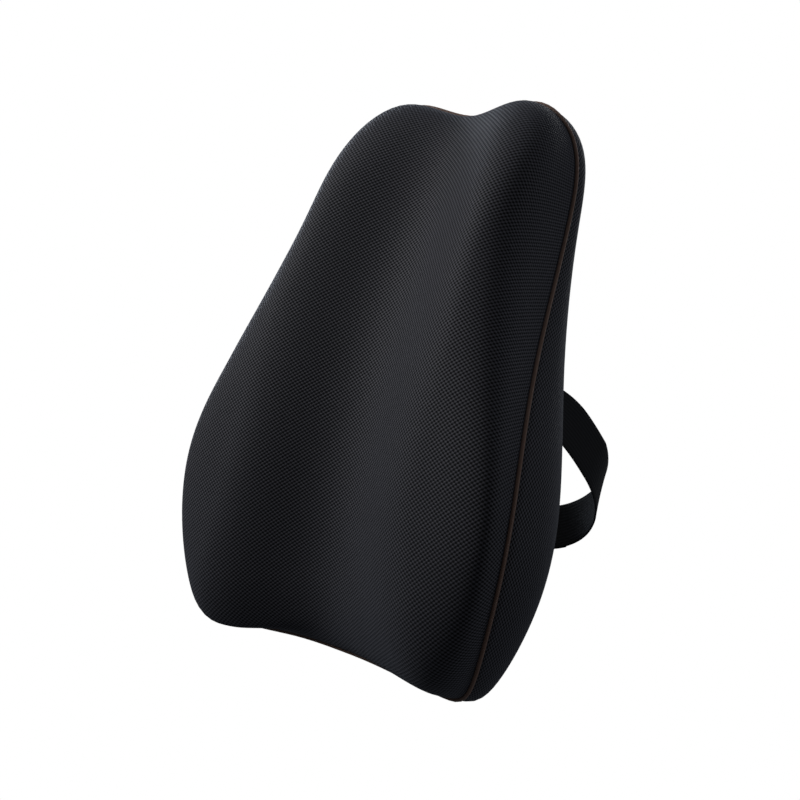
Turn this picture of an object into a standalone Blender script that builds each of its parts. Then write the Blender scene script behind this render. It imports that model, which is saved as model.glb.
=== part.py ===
"""Lumbar support cushion: a moulded foam block in a zipped mesh cover, with a strap for the chair's back.

Metres, +Z up. The origin is the middle of the flat back face. The user leans on the -Y side, and the
chair's backrest stands on the +Y side, inside the strap's loop. Heights below are above the lowest edge.
"""

import math

import bmesh
import bpy
import numpy as np
from mathutils import Matrix

MM = 0.001
GAP = 0.3 * MM  # between pieces that touch

# Overall form of the cushion
HEIGHT = 460 * MM
WIDTH = 326 * MM
DEPTH = 116 * MM  # from the back face to the crest of the side wings
BASE = -HEIGHT / 2

# Right half of the seam line that carries the piping, as shares of half the width and of the height
SEAM_OUTLINE = (
    (0.00, 0.0155),
    (0.30, 0.012),
    (0.66, 0.000),
    (0.80, 0.013),
    (0.975, 0.139),
    (1.00, 0.316),
    (0.83, 0.553),
    (0.69, 0.796),
    (0.613, 0.937),
    (0.39, 0.999),
    (0.00, 0.979),
)
# How the section changes with height, at these shares of it
STATIONS = (0.0, 0.2, 0.45, 0.75, 1.0)
CREST_DEPTH = (0.79, 0.94, 1.00, 0.89, 0.67)  # share of DEPTH at the wings' crests
TROUGH_DEPTH = (33 * MM, 31 * MM, 30 * MM, 29 * MM, 20 * MM)  # of the hollow between the wings
CREST_X = (156 * MM, 108 * MM, 100 * MM, 94 * MM, 92 * MM)  # from the middle plane to each crest
SEAM_DEPTH = (36 * MM, 80 * MM, 72 * MM, 32 * MM, 38 * MM)  # from the back face to the piping
# How the front rolls over to the seam, by the direction from the middle, in degrees above level
DIRECTIONS = (-90, -75, -60, -35, 0, 45, 70, 90)
ROLL_START = (0.74, 0.73, 0.72, 0.69, 0.64, 0.66, 0.68, 0.70)  # share of the way out to the seam
OVERHANG = (3 * MM, 9 * MM, 11 * MM, 12 * MM, 9 * MM, 8 * MM, 8 * MM, 8 * MM)  # of the front beyond the seam
ROLL_REACH_POWER = 2.25
ROLL_DEPTH_POWER = 2.25
HUB_HEIGHT = 0.465 * HEIGHT  # of the middle point that the section's directions start from
BACK_EDGE_ROUND = 28 * MM
BACK_LIP = 3 * MM  # flat rim of the side band, where the back panels are sewn on
SIDE_SWELL = 0.067  # outward swell of the side band, as a share of its depth

# Cover, liner and foam
COVER_THICKNESS = 2.5 * MM
LINER_THICKNESS = 0.8 * MM
LINER_EASE = 0.7 * MM
FOAM_EASE = 1 * MM
ZIP_POCKET = 2.3 * MM  # room between the back panels and the liner for the zip's inner side
LINER_OPENING = 0.55  # share of the back that the liner leaves open
COLUMNS = 56

# Piping
PIPING_RADIUS = 1.4 * MM
PIPING_STAND_OFF = 2.0 * MM
FLANGE_THICKNESS = 0.6 * MM
FLANGE_WIDTH = 2.5 * MM
SEAM_GAP = FLANGE_THICKNESS + 2 * GAP

# Zip, low on the back
ZIP_HEIGHT = 75 * MM
ZIP_SLOT = 10 * MM
ZIP_TEETH_LENGTH = 216 * MM
ZIP_TAPE = (12 * MM, 0.5 * MM)  # width and thickness of each tape
CHAIN_THICKNESS = 1.2 * MM
CHAIN_HALF_WIDTH = 3.0 * MM
CHAIN_GAP = 1.0 * MM
TOOTH_PITCH = 4 * MM
TOOTH_WIDTH = 2.2 * MM
TOOTH_LENGTH = 1.1 * MM
SLIDER_SIZE = (11 * MM, 8.6 * MM)
SLIDER_PLATE = 1.3 * MM
PULL_SIZE = (24 * MM, 7 * MM, 1.2 * MM)
PULL_PIN_RADIUS = 0.6 * MM
PULL_EYE = 4.8 * MM  # clear width round the slider's bridge

# Strap
WEBBING_WIDTH = 38 * MM
WEBBING_THICKNESS = 1.6 * MM
STRAP_HEIGHT = 231 * MM  # of its middle where it leaves the back seam
STRAP_REACH = 147 * MM  # from the back face to the strap's back run
STRAP_FLARE = 0.10
RIGHT_CORNER = 68 * MM
LEFT_CORNER = 30 * MM
RIGHT_DROP = 90 * MM  # fall from the right seam to the start of the back run
BACK_RUN_SLOPE = 0.30  # fall of the back run towards the left
SEAM_TUCK = 0.3 * MM
LAYER_OFFSET = WEBBING_THICKNESS / 2 + 0.25 * MM  # of each layer where the webbing is doubled
TURN_LENGTH = 9 * MM  # over which the two layers part to go round a bar

# Buckle and adjuster, in the strap's own direction, with the buckle's mouth at zero
BUCKLE_X = -3 * MM
BUCKLE_WIDTH = 48 * MM
BUCKLE_THICKNESS = 11 * MM
SOCKET_LENGTH = 39.5 * MM
SOCKET_WALL = 3.3 * MM
CAVITY_DEPTH = 27.5 * MM
CAVITY_THICKNESS = 5.8 * MM
BAR_SIZE = 3.5 * MM
WEBBING_SLOT = 5.5 * MM
SLOT_WIDTH = WEBBING_WIDTH + 1.2 * MM
PLUG_BODY = 13.5 * MM
PLUG_THICKNESS = 9 * MM
TONGUE_SIZE = (24 * MM, 4.4 * MM, 8 * MM)
PRONG_PIVOT = (-4 * MM, 14.5 * MM)
PRONG_THICKNESS = 4.4 * MM
PRONG_ARM = 3 * MM
PRONG_ROOT_RADIUS = 2.5 * MM
PRONG_HEAD = (10 * MM, 20 * MM)
PRONG_TIP_Z = BUCKLE_WIDTH / 2 + 0.2 * MM
RIGHT_RETURN = 25 * MM  # sewn return of the right webbing past its bar
LEFT_TAIL = 74 * MM  # free tail of the left webbing past its bar
ADJUSTER_X = -50 * MM
ADJUSTER_SIZE = (24 * MM, 8.4 * MM, 48 * MM)
ADJUSTER_CHANNEL = 4.4 * MM
ADJUSTER_BAR = 2.5 * MM

LABEL_SIZE = (26 * MM, 0.5 * MM, 38 * MM)
LABEL_X = -60 * MM

MESH_BLACK = (0.018, 0.018, 0.022)
PIPING_BROWN = (0.165, 0.090, 0.058)


# --- Scene, materials and small helpers ---


def clear_scene():
    for old in list(bpy.data.objects):
        bpy.data.objects.remove(old, do_unlink=True)


def new_collection(name):
    collection = bpy.data.collections.new(name)
    bpy.context.scene.collection.children.link(collection)
    return collection


clear_scene()
PARTS = new_collection("lumbar_support_cushion")
CUTTERS = new_collection("cutters")


def material(name, colour, roughness, metallic=0.0):
    made = bpy.data.materials.new(name)
    made.use_nodes = True
    shader = made.node_tree.nodes["Principled BSDF"]
    shader.inputs["Base Color"].default_value = (*colour, 1)
    shader.inputs["Roughness"].default_value = roughness
    shader.inputs["Metallic"].default_value = metallic
    return made


def place(name, mesh, look, location=(0, 0, 0), parent=None):
    made = bpy.data.objects.new(name, mesh)
    made.location = location
    made.parent = parent
    PARTS.objects.link(made)
    colour, roughness, metallic = look
    mesh.materials.append(material(name, colour, roughness, metallic))
    return made


def cube_mesh(name, size):
    shape = bmesh.new()
    bmesh.ops.create_cube(shape, size=1)
    bmesh.ops.scale(shape, vec=size, verts=shape.verts)
    mesh = bpy.data.meshes.new(name)
    shape.to_mesh(mesh)
    shape.free()
    return mesh


def block(name, low, high, look, parent=None, bevel=0.0):
    """A box between two corners, with rounded edges."""
    size = [b - a for a, b in zip(low, high)]
    middle = [(a + b) / 2 for a, b in zip(low, high)]
    made = place(name, cube_mesh(name, size), look, middle, parent)
    if bevel:
        rounding = made.modifiers.new("rounded edges", "BEVEL")
        rounding.width = bevel
        rounding.segments = 2
    return made


def as_cutter(made):
    made.hide_render = True
    made.display_type = "WIRE"
    CUTTERS.objects.link(made)
    PARTS.objects.unlink(made)
    return made


def box_cutter(name, low, high, parent=None):
    return as_cutter(block(name, low, high, PLASTIC, parent))


def rod_mesh(name, radius, length, axis):
    """A cylinder about the origin, along Y or Z."""
    shape = bmesh.new()
    turn = Matrix.Rotation(math.pi / 2, 3, "X") if axis == "Y" else Matrix.Identity(3)
    bmesh.ops.create_cone(
        shape, cap_ends=True, segments=20, radius1=radius, radius2=radius, depth=length
    )
    bmesh.ops.rotate(shape, matrix=turn, verts=shape.verts)
    mesh = bpy.data.meshes.new(name)
    shape.to_mesh(mesh)
    shape.free()
    return mesh


def rod_cutter(name, centre, radius, length, parent=None):
    return as_cutter(place(name, rod_mesh(name, radius, length, "Y"), PLASTIC, centre, parent))


def boolean(target, other, operation):
    step = target.modifiers.new(f"{operation.lower()} {other.name}", "BOOLEAN")
    step.operation = operation
    step.object = other


def cut(target, *cutters):
    for cutter in cutters:
        boolean(target, cutter, "DIFFERENCE")


def join(target, *others):
    for other in others:
        boolean(target, as_cutter(other), "UNION")


def flat_plate(name, outlines, y_low, y_high, look, parent=None):
    """A plate between two Y planes, from closed outlines in X and Z; inner outlines are holes."""
    curve = bpy.data.curves.new(name, "CURVE")
    curve.dimensions = "2D"
    curve.fill_mode = "BOTH"
    curve.extrude = (y_high - y_low) / 2
    for outline in outlines:
        spline = curve.splines.new("POLY")
        spline.points.add(len(outline) - 1)
        for point, (x, z) in zip(spline.points, outline):
            point.co = (x, z, 0, 1)
        spline.use_cyclic_u = True
    guide = bpy.data.objects.new(name, curve)
    PARTS.objects.link(guide)
    guide.rotation_euler.x = math.pi / 2
    guide.location.y = (y_low + y_high) / 2
    bpy.context.view_layer.update()
    mesh = bpy.data.meshes.new_from_object(guide.evaluated_get(bpy.context.evaluated_depsgraph_get()))
    mesh.transform(guide.matrix_world)
    bpy.data.objects.remove(guide)
    shape = bmesh.new()
    shape.from_mesh(mesh)
    bmesh.ops.remove_doubles(shape, verts=shape.verts, dist=0.01 * MM)
    bmesh.ops.recalc_face_normals(shape, faces=shape.faces)
    shape.to_mesh(mesh)
    shape.free()
    return place(name, mesh, look, parent=parent)


def surface_mesh(name, rows, around=False, tip=None, back_cap=False, ring_of_rows=False):
    """Faces between rows of points; around joins each row's ends, and tip closes the first row."""
    shape = bmesh.new()
    grid = [[shape.verts.new(point) for point in row] for row in rows]
    count = len(grid[0])
    pairs = list(zip(grid, grid[1:]))
    if ring_of_rows:
        pairs.append((grid[-1], grid[0]))
    for first, second in pairs:
        for i in range(count if around else count - 1):
            j = (i + 1) % count
            shape.faces.new((first[i], second[i], second[j], first[j]))
    if tip is not None:
        middle = shape.verts.new(tip)
        for i in range(count):
            shape.faces.new((middle, grid[0][i], grid[0][(i + 1) % count]))
    if back_cap:
        shape.faces.new(grid[-1][::-1])
    mesh = bpy.data.meshes.new(name)
    shape.to_mesh(mesh)
    shape.free()
    mesh.shade_smooth()
    mesh.set_sharp_from_angle(angle=math.radians(40))
    return mesh


def thicken(made, thickness, offset):
    wall = made.modifiers.new("wall", "SOLIDIFY")
    wall.thickness = thickness
    wall.offset = offset
    wall.use_even_offset = True


# --- The cushion's surface ---


def closed_spline(points, count):
    """Evenly spaced points on the smooth closed curve through the given points."""
    knots = np.array(points)
    closed = np.vstack([knots, knots[:1]])
    spans = np.linalg.norm(np.diff(closed, axis=0), axis=1) ** 0.5
    size = len(knots)
    system = np.zeros((size, size))
    target = np.zeros((size, 2))
    for i in range(size):
        before, after = spans[i - 1], spans[i]
        system[i, i - 1] += before
        system[i, i] += 2 * (before + after)
        system[i, (i + 1) % size] += after
        target[i] = 6 * ((closed[i + 1] - knots[i]) / after - (knots[i] - knots[i - 1]) / before)
    bends = np.linalg.solve(system, target)
    share = np.linspace(0, 1, 60, endpoint=False)[:, None]
    curve = []
    for i in range(size):
        span = spans[i] ** 2 / 6
        near = ((1 - share) ** 3 - (1 - share)) * bends[i]
        far = (share**3 - share) * bends[(i + 1) % size]
        curve.append((1 - share) * knots[i] + share * closed[i + 1] + span * (near + far))
    curve = np.vstack(curve + [knots[:1]])
    along = np.concatenate([[0], np.cumsum(np.linalg.norm(np.diff(curve, axis=0), axis=1))])
    even = np.linspace(0, along[-1], count, endpoint=False)
    return np.stack([np.interp(even, along, curve[:, k]) for k in range(2)], axis=1)


def seam_line(count):
    """The seam's outline in X and height, from the bottom dip up the right side, with its normals."""
    half = [(x * WIDTH / 2, z * HEIGHT) for x, z in SEAM_OUTLINE]
    mirrored = [(-x, z) for x, z in half[-2:0:-1]]
    line = closed_spline(half + mirrored, count)
    step = np.roll(line, -1, axis=0) - np.roll(line, 1, axis=0)
    normals = np.stack([step[:, 1], -step[:, 0]], axis=1)
    return line, normals / np.linalg.norm(normals, axis=1)[:, None]


def at_height(values, height):
    curve = np.polyfit(STATIONS, values, len(values) - 1)
    return np.polyval(curve, np.clip(height / HEIGHT, 0, 1))


def at_direction(values, degrees):
    place_between = np.interp(degrees, DIRECTIONS, range(len(DIRECTIONS)))
    lower = np.minimum(place_between.astype(int), len(values) - 2)
    share = place_between - lower
    share = share**2 * (3 - 2 * share)
    values = np.array(values)
    return values[lower] + (values[lower + 1] - values[lower]) * share


def front_depth(x, height):
    crest = at_height(CREST_DEPTH, height) * DEPTH
    rise = np.sin(np.clip(np.abs(x) / at_height(CREST_X, height), 0, 1) * math.pi / 2) ** 2
    return crest - at_height(TROUGH_DEPTH, height) * (1 - rise)


def to_points(flat, y):
    return np.stack([flat[:, 0], np.broadcast_to(y, len(flat)), flat[:, 1] + BASE], axis=1)


class Skin:
    """Rows of points over the cushion's surface, with its flat back moved in by back."""

    def __init__(self, back=0.0):
        self.back = back
        self.line, self.normals = seam_line(COLUMNS)
        self.seam = at_height(SEAM_DEPTH, self.line[:, 1])
        self.hub = np.array([0.0, HUB_HEIGHT])
        out = self.line - self.hub
        directions = np.degrees(np.arctan2(out[:, 1], np.abs(out[:, 0])))
        self.roll_start = at_direction(ROLL_START, directions)
        self.overhang = at_direction(OVERHANG, directions)

    def tip(self):
        return (0, -front_depth(0, HUB_HEIGHT), HUB_HEIGHT + BASE)

    def front_row(self, reach, roll, lift=0.0):
        start = 0.6 * self.roll_start
        swell = np.clip((reach - start) / (1 - start), 0, 1) ** 2.5
        out = (self.overhang * np.sin(math.pi * swell))[:, None]
        flat = self.hub + (self.line - self.hub) * np.broadcast_to(reach, len(out))[:, None]
        flat = flat + self.normals * out
        depth = front_depth(flat[:, 0], flat[:, 1])
        return to_points(flat, -(self.seam + lift + (depth - self.seam - lift) * roll))

    def front_rows(self, lift=0.0):
        """Rows from the hollow's middle out to the seam, which they meet square."""
        rows = [self.front_row(self.roll_start * share, 1, lift) for share in (0.35, 0.7)]
        for angle in np.radians((90, 75, 60, 45, 32, 20, 10, 0)):
            share = math.cos(angle) ** (2 / ROLL_REACH_POWER)
            roll = math.sin(angle) ** (2 / ROLL_DEPTH_POWER)
            rows.append(self.front_row(self.roll_start + (1 - self.roll_start) * share, roll, lift))
        return rows

    def side_rows(self, lift=0.0):
        """Rows from the seam round the back edge to the flat back."""
        rows = []
        seam = self.seam - lift
        for angle in np.radians((0, 10, 30, 55, 75, 90)):
            share = math.sin(angle) ** (2 / 3)
            swell = SIDE_SWELL * seam * math.sin(math.pi * share)
            tuck = BACK_EDGE_ROUND * (1 - math.cos(angle)) - swell
            flat = self.line - self.normals * tuck[:, None]
            rows.append(to_points(flat, -(seam - self.back) * (1 - share) - self.back))
        rows.append(to_points(self.back_ring(0), -self.back))
        return rows

    def back_ring(self, extra):
        """The edge of the flat back, moved in by extra."""
        return self.line - self.normals * (BACK_EDGE_ROUND + BACK_LIP + extra)


FABRIC = (MESH_BLACK, 0.9, 0.0)
PIPING = (PIPING_BROWN, 0.6, 0.0)
FOAM = ((0.72, 0.68, 0.56), 0.95, 0.0)
KNIT = ((0.62, 0.62, 0.60), 0.95, 0.0)
WEBBING = ((0.014, 0.015, 0.017), 0.8, 0.0)
PLASTIC = ((0.012, 0.012, 0.013), 0.4, 0.0)
METAL = ((0.05, 0.05, 0.055), 0.35, 1.0)
LABEL = ((0.75, 0.75, 0.73), 0.9, 0.0)


def shrink(made, distance):
    inside = made.modifiers.new("moved in", "DISPLACE")
    inside.mid_level = 0
    inside.strength = -distance


def build_foam_and_liner():
    skin = Skin(ZIP_POCKET - LINER_EASE)
    inset = COVER_THICKNESS + LINER_EASE
    rows = skin.front_rows() + skin.side_rows()[1:]
    opening = skin.hub + (skin.back_ring(0) - skin.hub) * LINER_OPENING
    liner_rows = rows + [to_points(opening, -skin.back)]
    mesh = surface_mesh("foam_liner", liner_rows, around=True, tip=skin.tip())
    liner = place("foam_liner", mesh, KNIT)
    shrink(liner, inset)
    thicken(liner, LINER_THICKNESS, -1)

    mesh = surface_mesh("foam_core", rows, around=True, tip=skin.tip(), back_cap=True)
    shrink(place("foam_core", mesh, FOAM), inset + LINER_THICKNESS + FOAM_EASE)


def build_cover():
    skin = Skin()
    mesh = surface_mesh("front_cover", skin.front_rows(SEAM_GAP / 2), around=True, tip=skin.tip())
    thicken(place("front_cover", mesh, FABRIC), COVER_THICKNESS, -1)
    mesh = surface_mesh("side_gusset", skin.side_rows(SEAM_GAP / 2), around=True)
    thicken(place("side_gusset", mesh, FABRIC), COVER_THICKNESS, -1)

    outline = skin.back_ring(0.4 * MM) + (0, BASE)
    for name, keep_above in (("back_panel_upper", True), ("back_panel_lower", False)):
        panel = flat_plate(name, [outline], -COVER_THICKNESS, 0, FABRIC)
        edge = zip_z() + (ZIP_SLOT / 2 if keep_above else -ZIP_SLOT / 2)
        low, high = (-HEIGHT, edge) if keep_above else (edge, HEIGHT)
        cut(panel, box_cutter(f"{name}_trim", (-WIDTH, -DEPTH, low), (WIDTH, DEPTH, high)))
        if keep_above:
            cut(panel, *(strap_slot(side) for side in (1, -1)))


def build_piping():
    """A round bead outside the seam, with the flange that is sewn into it."""
    skin = Skin()
    meet = math.radians(165)
    section = [
        (PIPING_STAND_OFF + PIPING_RADIUS * math.cos(a), PIPING_RADIUS * math.sin(a))
        for a in np.linspace(-meet, meet, 11)
    ]
    half = FLANGE_THICKNESS / 2
    section += [(-FLANGE_WIDTH, half), (-FLANGE_WIDTH, -half)]
    rows = []
    for out, along in section:
        rows.append(to_points(skin.line + skin.normals * out, -skin.seam + along))
    mesh = surface_mesh("front_piping", rows, around=True, ring_of_rows=True)
    place("front_piping", mesh, PIPING)


# --- The zip ---


def zip_z():
    return ZIP_HEIGHT + BASE


def panel_half_width(height):
    ring = Skin().back_ring(0)
    right = ring[ring[:, 0] > 0]
    right = right[right[:, 1] < HEIGHT * 0.9]
    order = np.argsort(right[:, 1])
    return float(np.interp(height, right[order, 1], right[order, 0]))


def comb_outline(side):
    """One half of the chain: a cord with teeth that face the other half."""
    half = ZIP_TEETH_LENGTH / 2
    cord = CHAIN_GAP / 2 + TOOTH_LENGTH
    points = [(-half, side * CHAIN_HALF_WIDTH), (-half, side * cord)]
    for k in range(int(ZIP_TEETH_LENGTH / TOOTH_PITCH)):
        start = -half + (k + 0.5) * TOOTH_PITCH - TOOTH_WIDTH / 2
        for x, z in ((0, cord), (0, CHAIN_GAP / 2), (TOOTH_WIDTH, CHAIN_GAP / 2), (TOOTH_WIDTH, cord)):
            points.append((start + x, side * z))
    points += [(half, side * cord), (half, side * CHAIN_HALF_WIDTH)]
    return [(x, z + zip_z()) for x, z in points]


def build_zip():
    z = zip_z()
    tape_width, tape_thickness = ZIP_TAPE
    tape_top = -COVER_THICKNESS - GAP
    half = panel_half_width(ZIP_HEIGHT - tape_width) - 3 * MM
    chain_low = tape_top + GAP
    chain_high = chain_low + CHAIN_THICKNESS
    for name, side in (("upper", 1), ("lower", -1)):
        ends = sorted((z + side * 0.7 * MM, z + side * tape_width))
        low = (-half, tape_top - tape_thickness, ends[0])
        block(f"zipper_tape_{name}", low, (half, tape_top, ends[1]), WEBBING)
        flat_plate(f"zipper_chain_{name}", [comb_outline(side)], chain_low, chain_high, PLASTIC)
    for name, side in (("closed", 1), ("open", -1)):
        start = side * (ZIP_TEETH_LENGTH / 2 + GAP)
        ends = sorted((start, start + side * 3.2 * MM))
        low = (ends[0], chain_low, z - CHAIN_HALF_WIDTH)
        block(f"zipper_stop_{name}", low, (ends[1], chain_high, z + CHAIN_HALF_WIDTH), METAL, bevel=0.3 * MM)
    build_slider(z, tape_top - tape_thickness, chain_high)


def build_slider(z, tape_back, chain_high):
    """Top plate with side lips, a thin neck between the chains, a back plate and the pull's bridge."""
    length, width = SLIDER_SIZE
    middle = ZIP_TEETH_LENGTH / 2 - length / 2 - 1 * MM
    plate_low = chain_high + GAP
    plate_high = plate_low + SLIDER_PLATE
    mount = bpy.data.objects.new("slider_centre", None)
    mount.location = (middle, 0, z)
    PARTS.objects.link(mount)
    slider = block(
        "zipper_slider", (-length / 2, plate_low, -width / 2), (length / 2, plate_high, width / 2),
        METAL, mount, bevel=0.5 * MM,
    )
    lip_inner = CHAIN_HALF_WIDTH + GAP
    for side in (1, -1):
        ends = sorted((side * lip_inner, side * (width / 2 - 0.1 * MM)))
        lip = block(
            f"slider_lip_{side}", (-length / 2 + 0.6 * MM, chain_high - 1 * MM, ends[0]),
            (length / 2 - 0.6 * MM, plate_low + 0.5 * MM, ends[1]), METAL, mount,
        )
        join(slider, lip)
    back_high = tape_back - GAP
    neck = block(
        "slider_neck", (1 * MM, back_high - 0.4 * MM, -0.2 * MM), (4 * MM, plate_low + 0.4 * MM, 0.2 * MM),
        METAL, mount,
    )
    back = block(
        "slider_back", (-length / 2 + 1 * MM, back_high - 0.8 * MM, -3.4 * MM),
        (length / 2 - 1 * MM, back_high, 3.4 * MM), METAL, mount,
    )
    bridge_reach = 2.3 * MM
    bridge = block(
        "slider_bridge", (-bridge_reach, plate_high - 0.4 * MM, -0.8 * MM),
        (bridge_reach, plate_high + 2.6 * MM, 0.8 * MM), METAL, mount, bevel=0.3 * MM,
    )
    join(slider, back, neck, bridge)
    pin_clear = PULL_PIN_RADIUS + GAP
    pin_y = plate_high + pin_clear
    window = box_cutter(
        "bridge_window", (-1.2 * MM, plate_high, -2 * MM), (1.2 * MM, pin_y + pin_clear, 2 * MM), mount
    )
    cut(slider, window)
    build_pull(mount, pin_y)


def build_pull(mount, pin_y):
    """A frame whose end pin turns under the slider's bridge, with a grip hole at its free end."""
    length, width, thickness = PULL_SIZE
    hinge = bpy.data.objects.new("pull_hinge", None)
    hinge.location = (0, pin_y, 0)
    hinge.parent = mount
    PARTS.objects.link(hinge)
    half = width / 2
    upper = [(-length, half * 0.6), (-length + 3 * MM, half), (0.3 * MM, half)]
    outline = upper + [(x, -z) for x, z in reversed(upper)]
    turn = np.linspace(0, 2 * math.pi, 16, endpoint=False)
    grip = [(-length + 6 * MM + 2.4 * MM * math.cos(a), 1.7 * MM * math.sin(a)) for a in turn]
    pull = flat_plate("zipper_pull", [outline, grip], -thickness / 2, thickness / 2, METAL, hinge)
    cut(pull, box_cutter("pull_eye", (-4.5 * MM, -MM, -PULL_EYE / 2), (0.8 * MM, MM, PULL_EYE / 2), hinge))
    mesh = rod_mesh("pull_pin", PULL_PIN_RADIUS, PULL_EYE + 1 * MM, "Z")
    join(pull, place("pull_pin", mesh, METAL, parent=hinge))


# --- The strap ---


def rim_point(height):
    """Where the back panel's edge crosses a height, on the right."""
    return np.array([panel_half_width(height), 0.0, height + BASE])


def seam_frame(side):
    """The strap's middle at the back seam, with the outward normal of the seam there."""
    low = rim_point(STRAP_HEIGHT - WEBBING_WIDTH / 2)
    high = rim_point(STRAP_HEIGHT + WEBBING_WIDTH / 2)
    along = (high - low) / np.linalg.norm(high - low)
    normal = np.array([along[2], 0.0, -along[0]])
    middle = (low + high) / 2 - normal * (WEBBING_THICKNESS / 2 + 0.8 * MM)
    flip = np.array([side, 1, 1])
    return middle * flip, normal * flip


def strap_slot(side):
    """Room in the back panel's edge for the webbing that is sewn into the seam."""
    middle, normal = seam_frame(side)
    length = WEBBING_WIDTH + 2 * MM
    half = WEBBING_THICKNESS / 2 + 0.8 * MM
    cutter = box_cutter(f"strap_slot_{side}", (-half, -DEPTH / 4, -length / 2), (half, DEPTH / 4, length / 2))
    cutter.location = middle
    cutter.rotation_euler.y = -math.atan2(normal[2], normal[0]) if side > 0 else math.atan2(normal[2], -normal[0])
    return cutter


def ease(share):
    share = np.clip(share, 0, 1)
    return share**2 * (3 - 2 * share)


def hermite(share, start, start_slope, end, end_slope):
    t = np.clip(share, 0, 1)
    value = start * (1 - 3 * t**2 + 2 * t**3) + end * (3 * t**2 - 2 * t**3)
    return value + start_slope * (t - 2 * t**2 + t**3) + end_slope * (t**3 - t**2)


def back_run_ends():
    """X of the two ends of the straight run behind the chair."""
    middle, _ = seam_frame(1)
    right = middle[0] + STRAP_FLARE * (STRAP_REACH - RIGHT_CORNER) - RIGHT_CORNER
    left = middle[0] + STRAP_FLARE * (STRAP_REACH - LEFT_CORNER) - LEFT_CORNER
    return right, -left


def back_run_z(x):
    right, _ = back_run_ends()
    start = STRAP_HEIGHT + BASE - RIGHT_DROP
    return start - (right - x) * BACK_RUN_SLOPE


def strap_middle(side, stop_x):
    """Points, directions and outward normals of one half strap, from its seam to stop_x."""
    corner = RIGHT_CORNER if side > 0 else LEFT_CORNER
    straight = STRAP_REACH - corner
    start, seam_normal = seam_frame(side)
    run_x = back_run_ends()[0 if side > 0 else 1]
    bend = corner * math.pi / 2
    drop = start[2] - back_run_z(run_x)
    slope = BACK_RUN_SLOPE * side
    stops = np.concatenate([
        np.linspace(-SEAM_TUCK, straight, 9)[:-1],
        straight + np.linspace(0, bend, 13)[:-1],
        straight + bend + np.linspace(0, side * (run_x - stop_x), 5),
    ])
    turn = np.clip((stops - straight) / corner, 0, math.pi / 2)
    past = np.clip(stops - straight - bend, 0, None)
    x = side * (abs(start[0]) + STRAP_FLARE * np.minimum(np.clip(stops, 0, None), straight))
    x = x - side * (corner * (1 - np.cos(turn)) + past)
    y = np.minimum(stops, straight) + corner * np.sin(turn)
    fall = hermite(stops / (straight + bend), 0, 0, drop, slope * (straight + bend)) + slope * past
    points = np.stack([x, y, start[2] - fall], axis=1)
    flat_normal = np.stack([side * np.cos(turn), np.sin(turn), 0 * turn], axis=1)
    blend = ease(stops / (0.6 * straight))[:, None]
    normals = seam_normal * (1 - blend) + flat_normal * blend
    return points, normals


def webbing(name, points, normals):
    """A flat band along points, its faces square to normals."""
    tangents = np.gradient(points, axis=0)
    across = np.cross(normals, tangents)
    across /= np.linalg.norm(across, axis=1)[:, None]
    rows = [(p - a * WEBBING_WIDTH / 2, p + a * WEBBING_WIDTH / 2) for p, a in zip(points, across)]
    thicken(place(name, surface_mesh(name, rows), WEBBING), WEBBING_THICKNESS, 0)


def build_strap(name, side, bar_x, tail):
    """One half strap: along the route, round its bar, and back along itself for the tail's length."""
    bar = buckle_point(bar_x)
    turn_radius = BAR_SIZE / math.sqrt(2) + GAP + WEBBING_THICKNESS / 2
    points, normals = strap_middle(side, bar[0])
    steps = np.linalg.norm(np.diff(points, axis=0), axis=1)
    to_bar = np.append(steps[::-1].cumsum()[::-1], 0)
    length = to_bar[0]
    run = points[-2] - points[-1]
    run /= np.linalg.norm(run)
    keep = to_bar > TURN_LENGTH
    close = TURN_LENGTH * np.array([1, 0.7, 0.4, 0.15])
    points = np.vstack([points[keep], points[-1] + close[:, None] * run])
    normals = np.vstack([normals[keep], np.repeat(normals[-1:], len(close), axis=0)])
    to_bar = np.append(to_bar[keep], close)
    doubled = ease((length - to_bar) / (0.4 * length))
    opened = ease(1 - to_bar / TURN_LENGTH)
    offset = (LAYER_OFFSET * doubled + (turn_radius - LAYER_OFFSET) * opened)[:, None]
    unit = normals / np.linalg.norm(normals, axis=1)[:, None]
    inner = points - unit * offset
    outer = points + unit * offset
    angles = np.radians((-90, -60, -30, 0, 30, 60, 90))
    round_bar = [bar + turn_radius * (math.sin(a) * unit[-1] - math.cos(a) * run) for a in angles]
    bar_normals = [math.sin(a) * unit[-1] - math.cos(a) * run for a in angles]
    back = (to_bar < tail).nonzero()[0][::-1]
    route = np.vstack([inner, round_bar, outer[back]])
    faces = np.vstack([-unit, bar_normals, unit[back]])
    webbing(name, route, faces)


# --- The buckle and the adjuster ---


def buckle_point(x):
    """A point at x along the back run, measured from the buckle's mouth."""
    across = math.cos(math.atan(BACK_RUN_SLOPE)) * x + BUCKLE_X
    return np.array([across, STRAP_REACH, back_run_z(across)])


def back_run_empty(name, x):
    made = bpy.data.objects.new(name, None)
    made.location = buckle_point(x)
    made.rotation_euler.y = -math.atan(BACK_RUN_SLOPE)
    PARTS.objects.link(made)
    return made


def bar_window(name, side, start, mount):
    """The webbing's slot and the clear space above and below the bar beyond it."""
    half = SLOT_WIDTH / 2
    tall = BUCKLE_THICKNESS
    ends = sorted((side * start, side * (start + WEBBING_SLOT)))
    cutters = [box_cutter(f"{name}_slot", (ends[0], -tall, -half), (ends[1], tall, half), mount)]
    far = side * (start + WEBBING_SLOT + BAR_SIZE + MM)
    ends = sorted((side * (start + WEBBING_SLOT - 0.1 * MM), far))
    for face in (1, -1):
        y = sorted((face * BAR_SIZE / 2, face * tall))
        cutter = box_cutter(f"{name}_bar_{face}", (ends[0], y[0], -half), (ends[1], y[1], half), mount)
        cutters.append(cutter)
    return cutters


def socket_bar_x():
    return SOCKET_LENGTH - BAR_SIZE / 2


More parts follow.
